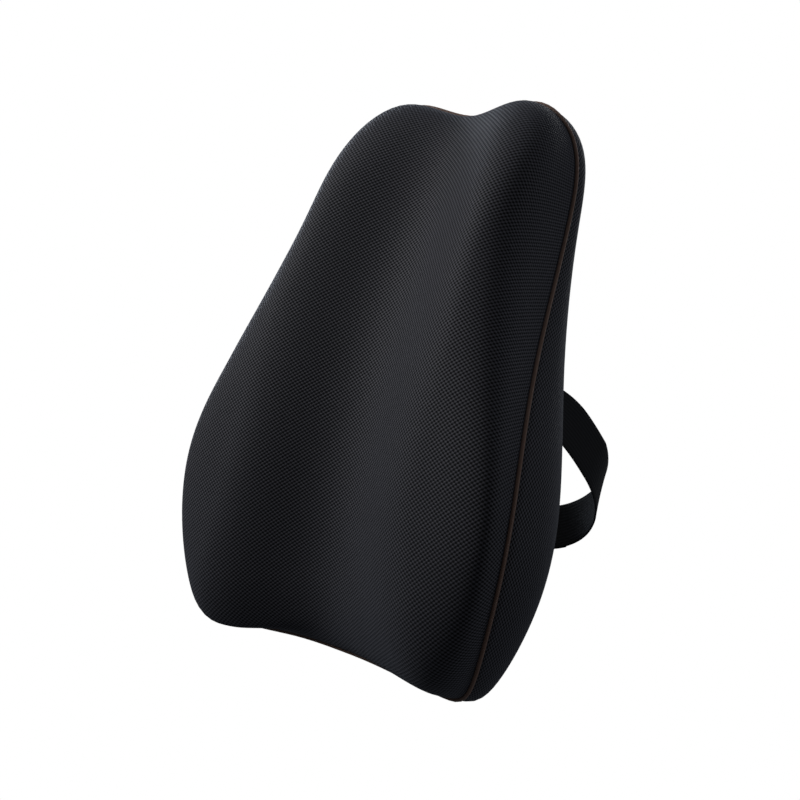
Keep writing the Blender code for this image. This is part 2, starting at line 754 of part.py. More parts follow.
def plug_bar_x():
    return -(0.5 * MM + PLUG_BODY + WEBBING_SLOT + BAR_SIZE / 2)


def build_socket(mount):
    half = BUCKLE_WIDTH / 2
    thick = BUCKLE_THICKNESS / 2
    socket = block(
        "buckle_socket", (0, -thick, -half), (SOCKET_LENGTH, thick, half), PLASTIC, mount, bevel=1.6 * MM
    )
    inner = half - SOCKET_WALL
    tall = CAVITY_THICKNESS / 2
    cavity = box_cutter("socket_cavity", (-MM, -tall, -inner), (CAVITY_DEPTH, tall, inner), mount)
    windows = box_cutter(
        "socket_windows", (PRONG_HEAD[0] - 1.5 * MM, -tall, -half - MM),
        (PRONG_HEAD[1] + 2.5 * MM, tall, half + MM), mount,
    )
    cut(socket, cavity, windows)
    cut(socket, *bar_window("socket", 1, SOCKET_LENGTH - BAR_SIZE - WEBBING_SLOT, mount))


def build_plug(mount):
    half = BUCKLE_WIDTH / 2
    thick = PLUG_THICKNESS / 2
    near = 0.5 * MM
    far = near + PLUG_BODY + WEBBING_SLOT + BAR_SIZE
    plug = block("buckle_plug", (-far, -thick, -half), (-near, thick, half), PLASTIC, mount, bevel=1.6 * MM)
    length, tall, wide = TONGUE_SIZE
    tongue = block(
        "plug_tongue", (-2 * MM, -tall / 2, -wide / 2), (length - 2 * MM, tall / 2, wide / 2), PLASTIC, mount,
        bevel=0.6 * MM,
    )
    join(plug, tongue)
    cut(plug, *bar_window("plug", -1, near + PLUG_BODY, mount))
    clear = PRONG_THICKNESS / 2 + GAP
    pivot_x, pivot_z = PRONG_PIVOT
    for side in (1, -1):
        centre = (pivot_x, 0, side * pivot_z)
        cut(plug, rod_cutter(f"prong_pocket_{side}", centre, PRONG_ROOT_RADIUS + GAP, 2 * clear, mount))
        inner = pivot_z - PRONG_ARM / 2 - 1.4 * MM
        outer = pivot_z + PRONG_ARM / 2 + GAP
        ends = sorted((side * inner, side * outer))
        mouth = box_cutter(f"prong_mouth_{side}", (pivot_x, -clear, ends[0]), (MM, clear, ends[1]), mount)
        cut(plug, mouth)


def build_prong(name, side, mount):
    """A sprung arm with a ramped head that catches in the socket's window."""
    pivot_x, pivot_z = PRONG_PIVOT
    hinge = bpy.data.objects.new(f"{name}_hinge", None)
    hinge.location = (pivot_x, 0, side * pivot_z)
    hinge.parent = mount
    PARTS.objects.link(hinge)
    half = PRONG_ARM / 2
    start, end = (x - pivot_x for x in PRONG_HEAD)
    tip = PRONG_TIP_Z - pivot_z
    meet = math.asin(half / PRONG_ROOT_RADIUS)
    turn = np.linspace(meet, 2 * math.pi - meet, 12)
    outline = [(PRONG_ROOT_RADIUS * math.cos(a), PRONG_ROOT_RADIUS * math.sin(a)) for a in turn]
    outline += [(end - 1.5 * MM, -half), (end, half), (end - 3.5 * MM, tip - 1 * MM)]
    outline += [(start + 2.5 * MM, tip), (start, tip - 0.4 * MM), (start, half)]
    tall = PRONG_THICKNESS / 2
    flat_plate(name, [[(x, side * z) for x, z in outline]], -tall, tall, PLASTIC, hinge)


def build_adjuster():
    """Three-bar slide: end bars in front of the webbing and a middle bar behind it."""
    mount = back_run_empty("adjuster_centre", ADJUSTER_X)
    length, thick, wide = (size / 2 for size in ADJUSTER_SIZE)
    channel = ADJUSTER_CHANNEL / 2
    half = SLOT_WIDTH / 2
    frame = block(
        "strap_adjuster", (-length, -thick, -wide), (length, thick, wide), PLASTIC, mount, bevel=1.2 * MM
    )
    cut(frame, box_cutter("adjuster_channel", (-WIDTH, -channel, -half), (WIDTH, channel, half), mount))
    inner = length - ADJUSTER_BAR
    cut(frame, box_cutter("adjuster_front", (-inner, -DEPTH, -half), (inner, 0, half), mount))
    bar = ADJUSTER_BAR / 2
    for side in (1, -1):
        ends = sorted((side * bar, side * WIDTH))
        cut(frame, box_cutter(f"adjuster_back_{side}", (ends[0], 0, -half), (ends[1], DEPTH, half), mount))


def build_label():
    wide, thick, tall = LABEL_SIZE
    top = zip_z() - ZIP_SLOT / 2 - 1.5 * MM
    low = (LABEL_X - wide / 2, GAP, top - tall)
    block("care_label", low, (LABEL_X + wide / 2, GAP + thick, top), LABEL)


build_foam_and_liner()
build_cover()
build_piping()
build_zip()
build_strap("strap_right", 1, socket_bar_x(), RIGHT_RETURN)
build_strap("strap_left", -1, plug_bar_x(), LEFT_TAIL)
buckle = back_run_empty("buckle_mouth", 0)
build_socket(buckle)
build_plug(buckle)
build_prong("buckle_prong_upper", 1, buckle)
build_prong("buckle_prong_lower", -1, buckle)
build_adjuster()
build_label()
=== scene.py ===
"""Lumbar support cushion: the visual model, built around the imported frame.

Metres, in the frame of the CAD: the origin is the middle of the flat back face, the sitter leans on the -Y
side and the strap loops round a chair's backrest on the +Y side. Heights are above the lowest edge.
"""

import math

import bmesh
import bpy
import numpy as np
from mathutils import Matrix, Vector


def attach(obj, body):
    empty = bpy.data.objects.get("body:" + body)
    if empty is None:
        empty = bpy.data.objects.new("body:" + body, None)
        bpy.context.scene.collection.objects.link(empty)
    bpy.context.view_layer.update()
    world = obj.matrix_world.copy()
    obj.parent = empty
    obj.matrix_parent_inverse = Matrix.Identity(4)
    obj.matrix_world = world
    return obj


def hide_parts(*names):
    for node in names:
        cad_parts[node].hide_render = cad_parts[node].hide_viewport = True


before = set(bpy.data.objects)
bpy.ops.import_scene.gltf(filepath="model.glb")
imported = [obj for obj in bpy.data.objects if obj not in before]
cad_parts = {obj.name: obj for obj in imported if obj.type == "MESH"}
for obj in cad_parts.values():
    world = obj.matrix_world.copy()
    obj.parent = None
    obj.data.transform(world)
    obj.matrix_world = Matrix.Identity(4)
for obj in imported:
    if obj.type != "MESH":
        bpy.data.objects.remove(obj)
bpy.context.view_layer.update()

MM = 0.001
UP = np.array([0.0, 0.0, 1.0])

# The cushion's form, as in the CAD
HEIGHT = 460 * MM
WIDTH = 326 * MM
DEPTH = 116 * MM
BASE = -HEIGHT / 2
SEAM_OUTLINE = (
    (0.00, 0.0155),
    (0.30, 0.012),
    (0.66, 0.000),
    (0.80, 0.013),
    (0.975, 0.139),
    (1.00, 0.316),
    (0.83, 0.553),
    (0.69, 0.796),
    (0.613, 0.937),
    (0.39, 0.999),
    (0.00, 0.979),
)
STATIONS = (0.0, 0.2, 0.45, 0.75, 1.0)
CREST_DEPTH = (0.79, 0.94, 1.00, 0.89, 0.67)
TROUGH_DEPTH = (33 * MM, 31 * MM, 30 * MM, 29 * MM, 20 * MM)
CREST_X = (156 * MM, 108 * MM, 100 * MM, 94 * MM, 92 * MM)
SEAM_DEPTH = (36 * MM, 80 * MM, 72 * MM, 32 * MM, 38 * MM)
DIRECTIONS = (-90, -75, -60, -35, 0, 45, 70, 90)
ROLL_START = (0.74, 0.73, 0.72, 0.69, 0.64, 0.66, 0.68, 0.70)
OVERHANG = (3 * MM, 9 * MM, 11 * MM, 12 * MM, 9 * MM, 8 * MM, 8 * MM, 8 * MM)
ROLL_REACH_POWER = 2.25
ROLL_DEPTH_POWER = 2.25
HUB_HEIGHT = 0.465 * HEIGHT
BACK_EDGE_ROUND = 28 * MM
BACK_LIP = 3 * MM
SIDE_SWELL = 0.067
SAG = 15 * MM  # of the soft lower lobe at low X

# Fabric, seams and piping
COLUMNS = 240
COVER_THICKNESS = 2.5 * MM
SEAM_HALF_GAP = 0.9 * MM
SEAM_TUCK_IN = 3.2 * MM
PIPING_RADIUS = 1.5 * MM
PIPING_STAND_OFF = 0.9 * MM
MESH_PITCH = (3.9 * MM, 3.1 * MM)  # across and up, between holes of one row and of one column

# Zip
ZIP_HEIGHT = 75 * MM
ZIP_SLOT = 10 * MM

# Strap
WEBBING_WIDTH = 38 * MM
WEBBING_THICKNESS = 1.6 * MM
STRAP_HEIGHT = 231 * MM
STRAP_REACH = 147 * MM
STRAP_FLARE = 0.10
RIGHT_CORNER = 68 * MM
LEFT_CORNER = 30 * MM
RIGHT_DROP = 90 * MM
BACK_RUN_SLOPE = 0.30
STRAP_TUCK = 0.3 * MM
LAYER_OFFSET = WEBBING_THICKNESS / 2 + 0.25 * MM
TURN_LENGTH = 9 * MM
BUCKLE_X = -3 * MM
BAR_SIZE = 3.5 * MM
SOCKET_BAR_X = 37.75 * MM
PLUG_BAR_X = -21.25 * MM
RIGHT_RETURN = 25 * MM
LEFT_TAIL = 74 * MM
GAP = 0.3 * MM


# --- Meshes ---


def new_piece(name, mesh, material, body="cushion"):
    made = bpy.data.objects.new(name, mesh)
    bpy.context.scene.collection.objects.link(made)
    mesh.materials.append(material)
    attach(made, body)
    return made


def grid_mesh(name, rows, uv, around=False, tip=None, tip_uv=None):
    """Faces between rows of points, with a UV map in metres; around joins each row's ends."""
    shape = bmesh.new()
    layer = shape.loops.layers.uv.new("weave")
    grid = [[shape.verts.new(point) for point in row] for row in rows]
    count = len(grid[0])
    last = count if around else count - 1
    for r in range(len(grid) - 1):
        for i in range(last):
            j = (i + 1) % count
            face = shape.faces.new((grid[r][i], grid[r + 1][i], grid[r + 1][j], grid[r][j]))
            marks = (uv[r][i], uv[r + 1][i], uv[r + 1][i + 1], uv[r][i + 1])
            for loop, mark in zip(face.loops, marks):
                loop[layer].uv = mark
    if tip is not None:
        middle = shape.verts.new(tip)
        for i in range(count):
            face = shape.faces.new((middle, grid[0][i], grid[0][(i + 1) % count]))
            for loop, mark in zip(face.loops, (tip_uv, uv[0][i], uv[0][i + 1])):
                loop[layer].uv = mark
    for face in shape.faces:
        face.smooth = True
    mesh = bpy.data.meshes.new(name)
    shape.to_mesh(mesh)
    shape.free()
    return mesh


def lengths(points):
    """Distance along a row of points, from its start."""
    steps = np.linalg.norm(np.diff(points, axis=0), axis=1)
    return np.concatenate([[0], np.cumsum(steps)])


def thicken(made, thickness, offset=-1):
    wall = made.modifiers.new("wall", "SOLIDIFY")
    wall.thickness = thickness
    wall.offset = offset


# --- The cushion's surface, as in the CAD ---


def closed_spline(points, count):
    """Evenly spaced points on the smooth closed curve through the given points."""
    knots = np.array(points)
    closed = np.vstack([knots, knots[:1]])
    spans = np.linalg.norm(np.diff(closed, axis=0), axis=1) ** 0.5
    size = len(knots)
    system = np.zeros((size, size))
    target = np.zeros((size, 2))
    for i in range(size):
        before, after = spans[i - 1], spans[i]
        system[i, i - 1] += before
        system[i, i] += 2 * (before + after)
        system[i, (i + 1) % size] += after
        target[i] = 6 * ((closed[i + 1] - knots[i]) / after - (knots[i] - knots[i - 1]) / before)
    bends = np.linalg.solve(system, target)
    share = np.linspace(0, 1, 60, endpoint=False)[:, None]
    curve = []
    for i in range(size):
        span = spans[i] ** 2 / 6
        near = ((1 - share) ** 3 - (1 - share)) * bends[i]
        far = (share**3 - share) * bends[(i + 1) % size]
        curve.append((1 - share) * knots[i] + share * closed[i + 1] + span * (near + far))
    curve = np.vstack(curve + [knots[:1]])
    along = lengths(curve)
    even = np.linspace(0, along[-1], count, endpoint=False)
    return np.stack([np.interp(even, along, curve[:, k]) for k in range(2)], axis=1)


def seam_line(count):
    half = [(x * WIDTH / 2, z * HEIGHT) for x, z in SEAM_OUTLINE]
    mirrored = [(-x, z) for x, z in half[-2:0:-1]]
    line = closed_spline(half + mirrored, count)
    step = np.roll(line, -1, axis=0) - np.roll(line, 1, axis=0)
    normals = np.stack([step[:, 1], -step[:, 0]], axis=1)
    return line, normals / np.linalg.norm(normals, axis=1)[:, None]


def at_height(values, height):
    curve = np.polyfit(STATIONS, values, len(values) - 1)
    return np.polyval(curve, np.clip(height / HEIGHT, 0, 1))


def ease(share):
    share = np.clip(share, 0, 1)
    return share**2 * (3 - 2 * share)


def at_direction(values, degrees):
    place_between = np.interp(degrees, DIRECTIONS, range(len(DIRECTIONS)))
    lower = np.minimum(place_between.astype(int), len(values) - 2)
    values = np.array(values)
    return values[lower] + (values[lower + 1] - values[lower]) * ease(place_between - lower)


def front_depth(x, height):
    crest = at_height(CREST_DEPTH, height) * DEPTH
    rise = np.sin(np.clip(np.abs(x) / at_height(CREST_X, height), 0, 1) * math.pi / 2) ** 2
    return crest - at_height(TROUGH_DEPTH, height) * (1 - rise)


def to_points(flat, y):
    return np.stack([flat[:, 0], np.broadcast_to(y, len(flat)), flat[:, 1] + BASE], axis=1)


class Skin:
    """Rows of points over the cushion's surface."""

    def __init__(self):
        self.line, self.normals = seam_line(COLUMNS)
        self.seam = at_height(SEAM_DEPTH, self.line[:, 1])
        self.hub = np.array([0.0, HUB_HEIGHT])
        out = self.line - self.hub
        directions = np.degrees(np.arctan2(out[:, 1], np.abs(out[:, 0])))
        self.roll_start = at_direction(ROLL_START, directions)
        self.overhang = at_direction(OVERHANG, directions)

    def tip(self):
        return (0, -front_depth(0, HUB_HEIGHT), HUB_HEIGHT + BASE)

    def sag(self, flat, reach):
        """How far the soft lobe at low X hangs below its drawn form, none at the seam and at the middle."""
        low = ease((0.30 * HEIGHT - flat[:, 1]) / (0.30 * HEIGHT))
        return SAG * ease(-flat[:, 0] / (0.28 * WIDTH)) * low * ease((1 - reach) / 0.12)

    def front_row(self, reach, roll):
        start = 0.6 * self.roll_start
        swell = np.clip((reach - start) / (1 - start), 0, 1) ** 2.5
        out = (self.overhang * np.sin(math.pi * swell))[:, None]
        flat = self.hub + (self.line - self.hub) * np.broadcast_to(reach, len(out))[:, None]
        flat = flat + self.normals * out
        depth = front_depth(flat[:, 0], flat[:, 1])
        seam = self.seam + SEAM_HALF_GAP
        points = to_points(flat, -(seam + (depth - seam) * roll))
        points[:, 2] -= self.sag(flat, reach)
        return points

    def seam_lip(self, side):
        """Rows that turn in from the surface to the seam; side is 1 for the front and -1 for the gusset."""
        rows = []
        for inward, lift in ((0.25, 0.35), (0.9, 0.1), (1.8, -0.05), (SEAM_TUCK_IN / MM, -0.1)):
            y = -self.seam - side * (SEAM_HALF_GAP + lift * MM)
            rows.append(to_points(self.line - self.normals * inward * MM, y))
        return rows

    def front_rows(self):
        rows = [self.front_row(self.roll_start * share, 1) for share in np.linspace(0.05, 0.97, 22)]
        for angle in np.radians(np.linspace(90, 1.5, 46)):
            share = math.cos(angle) ** (2 / ROLL_REACH_POWER)
            roll = math.sin(angle) ** (2 / ROLL_DEPTH_POWER)
            rows.append(self.front_row(self.roll_start + (1 - self.roll_start) * share, roll))
        return rows + self.seam_lip(1)

    def side_rows(self):
        """Rows from the seam round the back edge to the seam of the flat back."""
        rows = self.seam_lip(-1)[::-1]
        seam = self.seam - SEAM_HALF_GAP
        for angle in np.radians(np.linspace(2, 90, 34)):
            share = math.sin(angle) ** (2 / 3)
            swell = SIDE_SWELL * seam * math.sin(math.pi * share)
            tuck = BACK_EDGE_ROUND * (1 - math.cos(angle)) - swell
            flat = self.line - self.normals * tuck[:, None]
            rows.append(to_points(flat, -seam * (1 - share)))
        for extra, y in ((1.6, 0.0), (2.4, -0.25), (2.75, -0.9), (2.85, -2.2)):
            rows.append(to_points(self.back_ring(extra * MM - BACK_LIP), y * MM))
        return rows

    def back_ring(self, extra):
        """The edge of the flat back, moved in by extra."""
        return self.line - self.normals * (BACK_EDGE_ROUND + BACK_LIP + extra)


# --- Materials ---


class Shader:
    """A short way to write a material's nodes as sums."""

    def __init__(self, name, roughness=0.8, metallic=0.0, sheen=0.0, sheen_tint=(1, 1, 1), specular=0.5):
        self.material = bpy.data.materials.new(name)
        self.material.use_nodes = True
        self.tree = self.material.node_tree
        self.main = self.tree.nodes["Principled BSDF"]
        self.main.inputs["Roughness"].default_value = roughness
        self.main.inputs["Metallic"].default_value = metallic
        self.main.inputs["Sheen Weight"].default_value = sheen
        self.main.inputs["Sheen Tint"].default_value = (*sheen_tint, 1)
        self.main.inputs["Specular IOR Level"].default_value = specular

    def node(self, kind, **inputs):
        made = self.tree.nodes.new(kind)
        for key, value in inputs.items():
            self.feed(made.inputs[key.replace("_", " ")], value)
        return made

    def feed(self, socket, value):
        if isinstance(value, bpy.types.NodeSocket):
            self.tree.links.new(value, socket)
        else:
            socket.default_value = value

    def math(self, operation, *values):
        made = self.tree.nodes.new("ShaderNodeMath")
        made.operation = operation
        for socket, value in zip(made.inputs, values):
            self.feed(socket, value)
        return made.outputs[0]

    def wave(self, value, pitch):
        return self.math("COSINE", self.math("MULTIPLY", value, 2 * math.pi / pitch))

    def smooth(self, value, low, high):
        made = self.tree.nodes.new("ShaderNodeMapRange")
        made.interpolation_type = "SMOOTHSTEP"
        self.feed(made.inputs["Value"], value)
        made.inputs["From Min"].default_value = low
        made.inputs["From Max"].default_value = high
        return made.outputs["Result"]

    def noise(self, vector, scale, detail=2.0):
        made = self.node("ShaderNodeTexNoise", Vector=vector, Scale=scale, Detail=detail)
        return made.outputs[0]

    def mix(self, share, first, second):
        made = self.tree.nodes.new("ShaderNodeMix")
        made.data_type = "RGBA"
        self.feed(made.inputs[0], share)
        self.feed(made.inputs[6], (*first, 1) if isinstance(first, tuple) else first)
        self.feed(made.inputs[7], (*second, 1) if isinstance(second, tuple) else second)
        return made.outputs[2]

    def place(self):
        return self.tree.nodes.new("ShaderNodeTexCoord").outputs["Object"]

    def weave(self):
        """The two directions of the piece's cloth, in metres."""
        made = self.tree.nodes.new("ShaderNodeUVMap")
        made.uv_map = "weave"
        parts = self.node("ShaderNodeSeparateXYZ", Vector=made.outputs[0])
        return made.outputs[0], parts.outputs[0], parts.outputs[1]

    def colour(self, value):
        self.feed(self.main.inputs["Base Color"], (*value, 1) if isinstance(value, tuple) else value)

    def roughness(self, value):
        self.feed(self.main.inputs["Roughness"], value)

    def bump(self, height, distance, strength=1.0):
        made = self.node("ShaderNodeBump", Strength=strength, Distance=distance, Height=height)
        self.feed(self.main.inputs["Normal"], made.outputs[0])


def mesh_fabric():
    """Black 3-D air mesh: staggered round holes between knitted ribs that catch the light; the raised knots
    carry a painted highlight and the holes painted shade.
    """
    s = Shader("air_mesh", roughness=0.7, sheen=0.12, sheen_tint=(0.7, 0.8, 1.0), specular=0.25)
    cloth, across, up = s.weave()
    drift = s.math("MULTIPLY", s.math("SUBTRACT", s.noise(cloth, 90.0), 0.5), 0.3 * MM)
    across = s.math("ADD", across, drift)
    field = s.math("MULTIPLY", s.wave(across, MESH_PITCH[0]), s.wave(up, MESH_PITCH[1]))
    hole_and_shade = s.smooth(field, 0.0, 0.5)
    knot_and_highlight = s.smooth(s.math("MULTIPLY", field, -1.0), -0.1, 0.9)
    filament = s.wave(s.math("ADD", across, s.math("MULTIPLY", up, 0.6)), 0.55 * MM)
    patch = s.noise(cloth, 28.0)
    # painted highlight: the raised knots between the holes are coloured three times lighter than the ribs
    thread = s.mix(knot_and_highlight, (0.0265, 0.0265, 0.033), (0.080, 0.080, 0.099))
    thread = s.mix(s.math("MULTIPLY", patch, 0.25), thread, (0.014, 0.014, 0.017))
    # painted shade: the holes are coloured near black, much darker than the black yarn, for the shade
    # inside them
    s.colour(s.mix(hole_and_shade, thread, (0.0006, 0.0006, 0.001)))
    s.roughness(s.math("ADD", 0.6, s.math("MULTIPLY", hole_and_shade, 0.35)))
    height = s.math("SUBTRACT", s.math("MULTIPLY", knot_and_highlight, 0.5), hole_and_shade)
    height = s.math("ADD", height, s.math("MULTIPLY", filament, 0.05))
    s.bump(height, 0.45 * MM, 0.7)
    return s.material


def piping_cloth():
    s = Shader("piping_cloth", roughness=0.5, sheen=0.25, sheen_tint=(1.0, 0.8, 0.75))
    cloth, around, along = s.weave()
    twill = s.wave(s.math("ADD", around, along), 0.8 * MM)
    share = s.math("MULTIPLY", s.smooth(twill, -1, 1), 0.5)
    base = s.mix(s.noise(cloth, 60.0), (0.155, 0.083, 0.055), (0.205, 0.112, 0.078))
    s.colour(s.mix(share, base, (0.100, 0.055, 0.038)))
    s.bump(twill, 0.12 * MM, 0.6)
    return s.material


def webbing_cloth():
    """Black polyester webbing: lengthwise ribs crossed by a fine herringbone."""
    s = Shader("webbing", roughness=0.8, sheen=0.05, sheen_tint=(0.8, 0.88, 1.0), specular=0.15)
    cloth, along, across = s.weave()
    rib = s.wave(across, 2.7 * MM)
    slant = s.math("PINGPONG", across, 1.35 * MM)
    twill = s.wave(s.math("ADD", along, slant), 1.5 * MM)
    raised = s.math("ADD", s.math("MULTIPLY", rib, 0.6), s.math("MULTIPLY", twill, 0.4))
    base = s.mix(s.smooth(raised, -0.8, 0.9), (0.006, 0.0062, 0.007), (0.016, 0.0175, 0.020))
    s.colour(s.mix(s.math("MULTIPLY", s.noise(cloth, 120.0), 0.3), base, (0.010, 0.010, 0.012)))
    s.bump(raised, 0.15 * MM, 0.6)
    return s.material


def thread(name, colour):
    s = Shader(name, roughness=0.55, sheen=0.2)
    place = s.place()
    s.colour(s.mix(s.noise(place, 900.0), tuple(0.7 * c for c in colour), colour))
    s.bump(s.noise(place, 2500.0), 0.1 * MM)
    return s.material


def moulded_plastic():
    s = Shader("moulded_plastic", roughness=0.42)
    place = s.place()
    fine = s.noise(place, 2600.0, 3.0)
    s.colour(s.mix(s.noise(place, 90.0), (0.010, 0.010, 0.011), (0.016, 0.016, 0.018)))
    s.roughness(s.math("ADD", 0.34, s.math("MULTIPLY", fine, 0.2)))
    s.bump(fine, 0.05 * MM, 0.5)
    return s.material


def dark_metal():
    s = Shader("black_nickel", roughness=0.3, metallic=1.0)
    place = s.place()
    worn = s.noise(place, 500.0, 4.0)
    s.colour(s.mix(s.smooth(worn, 0.5, 0.75), (0.055, 0.055, 0.06), (0.16, 0.155, 0.15)))
    s.roughness(s.math("ADD", 0.22, s.math("MULTIPLY", worn, 0.25)))
    s.bump(worn, 0.03 * MM, 0.4)
    return s.material


def zip_plastic():
    s = Shader("zip_coil", roughness=0.35)
    place = s.place()
    s.colour(s.mix(s.noise(place, 700.0), (0.009, 0.009, 0.010), (0.02, 0.02, 0.021)))
    s.bump(s.noise(place, 3000.0), 0.05 * MM, 0.5)
    return s.material


def zip_tape():
    s = Shader("zip_tape", roughness=0.75, sheen=0.2)
    place = s.place()
    parts = s.node("ShaderNodeSeparateXYZ", Vector=place)
    weave = s.math("MULTIPLY", s.wave(parts.outputs[0], 0.7 * MM), s.wave(parts.outputs[2], 0.7 * MM))
    s.colour(s.mix(s.smooth(weave, -1, 1), (0.008, 0.008, 0.009), (0.02, 0.02, 0.022)))
    s.bump(weave, 0.1 * MM, 0.8)
    return s.material


def label_cloth():
    s = Shader("label_satin", roughness=0.5, sheen=0.3)
    place = s.place()
    parts = s.node("ShaderNodeSeparateXYZ", Vector=place)
    weave = s.math("MULTIPLY", s.wave(parts.outputs[0], 0.5 * MM), s.wave(parts.outputs[2], 0.9 * MM))
    s.colour(s.mix(s.smooth(weave, -1, 1), (0.66, 0.66, 0.64), (0.78, 0.78, 0.76)))
    s.bump(weave, 0.05 * MM, 0.6)
    return s.material


def memory_foam():
    s = Shader("memory_foam", roughness=0.9)
    place = s.place()
    cells = s.noise(place, 1200.0, 3.0)
    s.colour(s.mix(cells, (0.62, 0.57, 0.44), (0.78, 0.74, 0.62)))
    s.bump(cells, 0.3 * MM, 0.6)
    return s.material


def liner_knit():
    s = Shader("liner_knit", roughness=0.85, sheen=0.3)
    place = s.place()
    parts = s.node("ShaderNodeSeparateXYZ", Vector=place)
    weave = s.math("MULTIPLY", s.wave(parts.outputs[0], 1.2 * MM), s.wave(parts.outputs[2], 1.0 * MM))
    s.colour(s.mix(s.smooth(weave, -1, 1), (0.5, 0.5, 0.48), (0.68, 0.68, 0.66)))
    s.bump(weave, 0.2 * MM, 0.7)
    return s.material


# --- The covers ---


def unwrap_in_metres(made):
    """Flattens a dome of cloth with little stretch, at its real size, with V up the cushion."""
    bpy.context.view_layer.objects.active = made
    made.select_set(True)
    bpy.ops.object.mode_set(mode="EDIT")
    bpy.ops.mesh.select_all(action="SELECT")
    bpy.ops.uv.unwrap(method="MINIMUM_STRETCH", margin=0, iterations=8)
    bpy.ops.object.mode_set(mode="OBJECT")
    made.select_set(False)
    mesh = made.data
    uv = np.zeros(len(mesh.loops) * 2)
    mesh.uv_layers["weave"].data.foreach_get("uv", uv)
    uv = uv.reshape(-1, 2)
    index = np.zeros(len(mesh.loops), int)
    mesh.loops.foreach_get("vertex_index", index)
    place = np.zeros(len(mesh.vertices) * 3)
    mesh.vertices.foreach_get("co", place)
    place = place.reshape(-1, 3)[index]
    near = (np.abs(place[:, 0]) < 0.1) & (np.abs(place[:, 2]) < 0.15)
    # the turn that best lays the flattened cloth along X and Z near the middle
    flat = np.column_stack([uv[near], np.ones(near.sum())])
    fit = np.linalg.lstsq(flat, place[near][:, [0, 2]], rcond=None)[0]
    left, sizes, right = np.linalg.svd(fit[:2])
    uv = (uv - uv.mean(axis=0)) @ (left @ right) * sizes.mean()
    mesh.uv_layers["weave"].data.foreach_set("uv", uv.ravel())


def build_front(skin, cloth):
    rows = skin.front_rows()
    uv = [[(0, 0)] * (COLUMNS + 1)] * len(rows)
    mesh = grid_mesh("front_cover_mesh", rows, uv, around=True, tip=skin.tip(), tip_uv=(0, 0))
    cover = new_piece("front_cover_mesh", mesh, cloth)
    unwrap_in_metres(cover)
    thicken(cover, COVER_THICKNESS)
    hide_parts("front_cover")


def build_gusset(skin, cloth):
    rows = skin.side_rows()
    middle = np.array(rows[len(rows) // 3])
    along = lengths(np.vstack([middle, middle[:1]]))
    along = along * round(along[-1] / MESH_PITCH[0]) * MESH_PITCH[0] / along[-1]
    columns = [lengths(np.array([row[i] for row in rows])) for i in range(COLUMNS)]
    columns.append(columns[0])
    uv = [[(along[i], -columns[i][r]) for i in range(COLUMNS + 1)] for r in range(len(rows))]
    mesh = grid_mesh("side_gusset_mesh", rows, uv, around=True)
    gusset = new_piece("side_gusset_mesh", mesh, cloth)
    thicken(gusset, COVER_THICKNESS)
    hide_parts("side_gusset")


def fair_ring(skin, extra):
    """The edge of the flat back, one point in each seam point's direction, with no folds at its corners."""
    ring = skin.back_ring(extra) - skin.hub
    out = skin.line - skin.hub
    directions = np.arctan2(ring[:, 1], ring[:, 0])
    order = np.argsort(directions)
    wanted = np.arctan2(out[:, 1], out[:, 0])
    reach = np.interp(wanted, directions[order], np.linalg.norm(ring, axis=1)[order], period=2 * math.pi)
    return skin.hub + np.stack([np.cos(wanted), np.sin(wanted)], axis=1) * reach[:, None]


def build_back(skin, cloth):
    """The flat back, cut at the zip, with its cloth turned in at the seam and at both zip edges."""
    zip_z = ZIP_HEIGHT + BASE
    for name, side in (("back_panel_upper", 1), ("back_panel_lower", -1)):
        turned_in = ((0.15, -2.2), (0.25, -0.9), (0.6, -0.25))
        rows = [to_points(fair_ring(skin, extra * MM), y * MM) for extra, y in turned_in]
        edge = fair_ring(skin, 1.6 * MM)
        for share in np.linspace(1, 0.03, 22):
            crown = 0.25 * MM * (1 - share**4)
            rows.append(to_points(skin.hub + (edge - skin.hub) * share, crown))
        uv = [[(p[0], p[2]) for p in np.vstack([row, row[:1]])] for row in rows]
        mesh = grid_mesh(name, rows, uv, around=True)
        shape = bmesh.new()
        shape.from_mesh(mesh)
        shape.faces.new(list(shape.verts)[-COLUMNS:])
        cut_z = zip_z + side * ZIP_SLOT / 2
        parts = shape.verts[:] + shape.edges[:] + shape.faces[:]
        bmesh.ops.bisect_plane(
            shape, geom=parts, plane_co=(0, 0, cut_z), plane_no=(0, 0, -side), clear_outer=True
        )
        on_cut = {vert for vert in shape.verts if abs(vert.co.z - cut_z) < 1e-6}
        rim = [edge for edge in shape.edges if edge.is_boundary and on_cut.issuperset(edge.verts)]
        for inward, depth in ((0.1, 0.45), (0.6, 0.5), (1.4, 0.0)):
            grown = bmesh.ops.extrude_edge_only(shape, edges=rim)["geom"]
            for vert in (g for g in grown if isinstance(g, bmesh.types.BMVert)):
                vert.co.z -= side * depth * MM * 0.6
                vert.co.y -= inward * MM
            rim = [g for g in grown if isinstance(g, bmesh.types.BMEdge)]
        bmesh.ops.recalc_face_normals(shape, faces=shape.faces)
        layer = shape.loops.layers.uv["weave"]
        for face in shape.faces:
            face.smooth = True
            for loop in face.loops:
                loop[layer].uv = (loop.vert.co.x, loop.vert.co.z)
        shape.to_mesh(mesh)
        shape.free()
        panel = new_piece(f"{name}_mesh", mesh, cloth)
        thicken(panel, COVER_THICKNESS * 0.8)
        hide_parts(name)


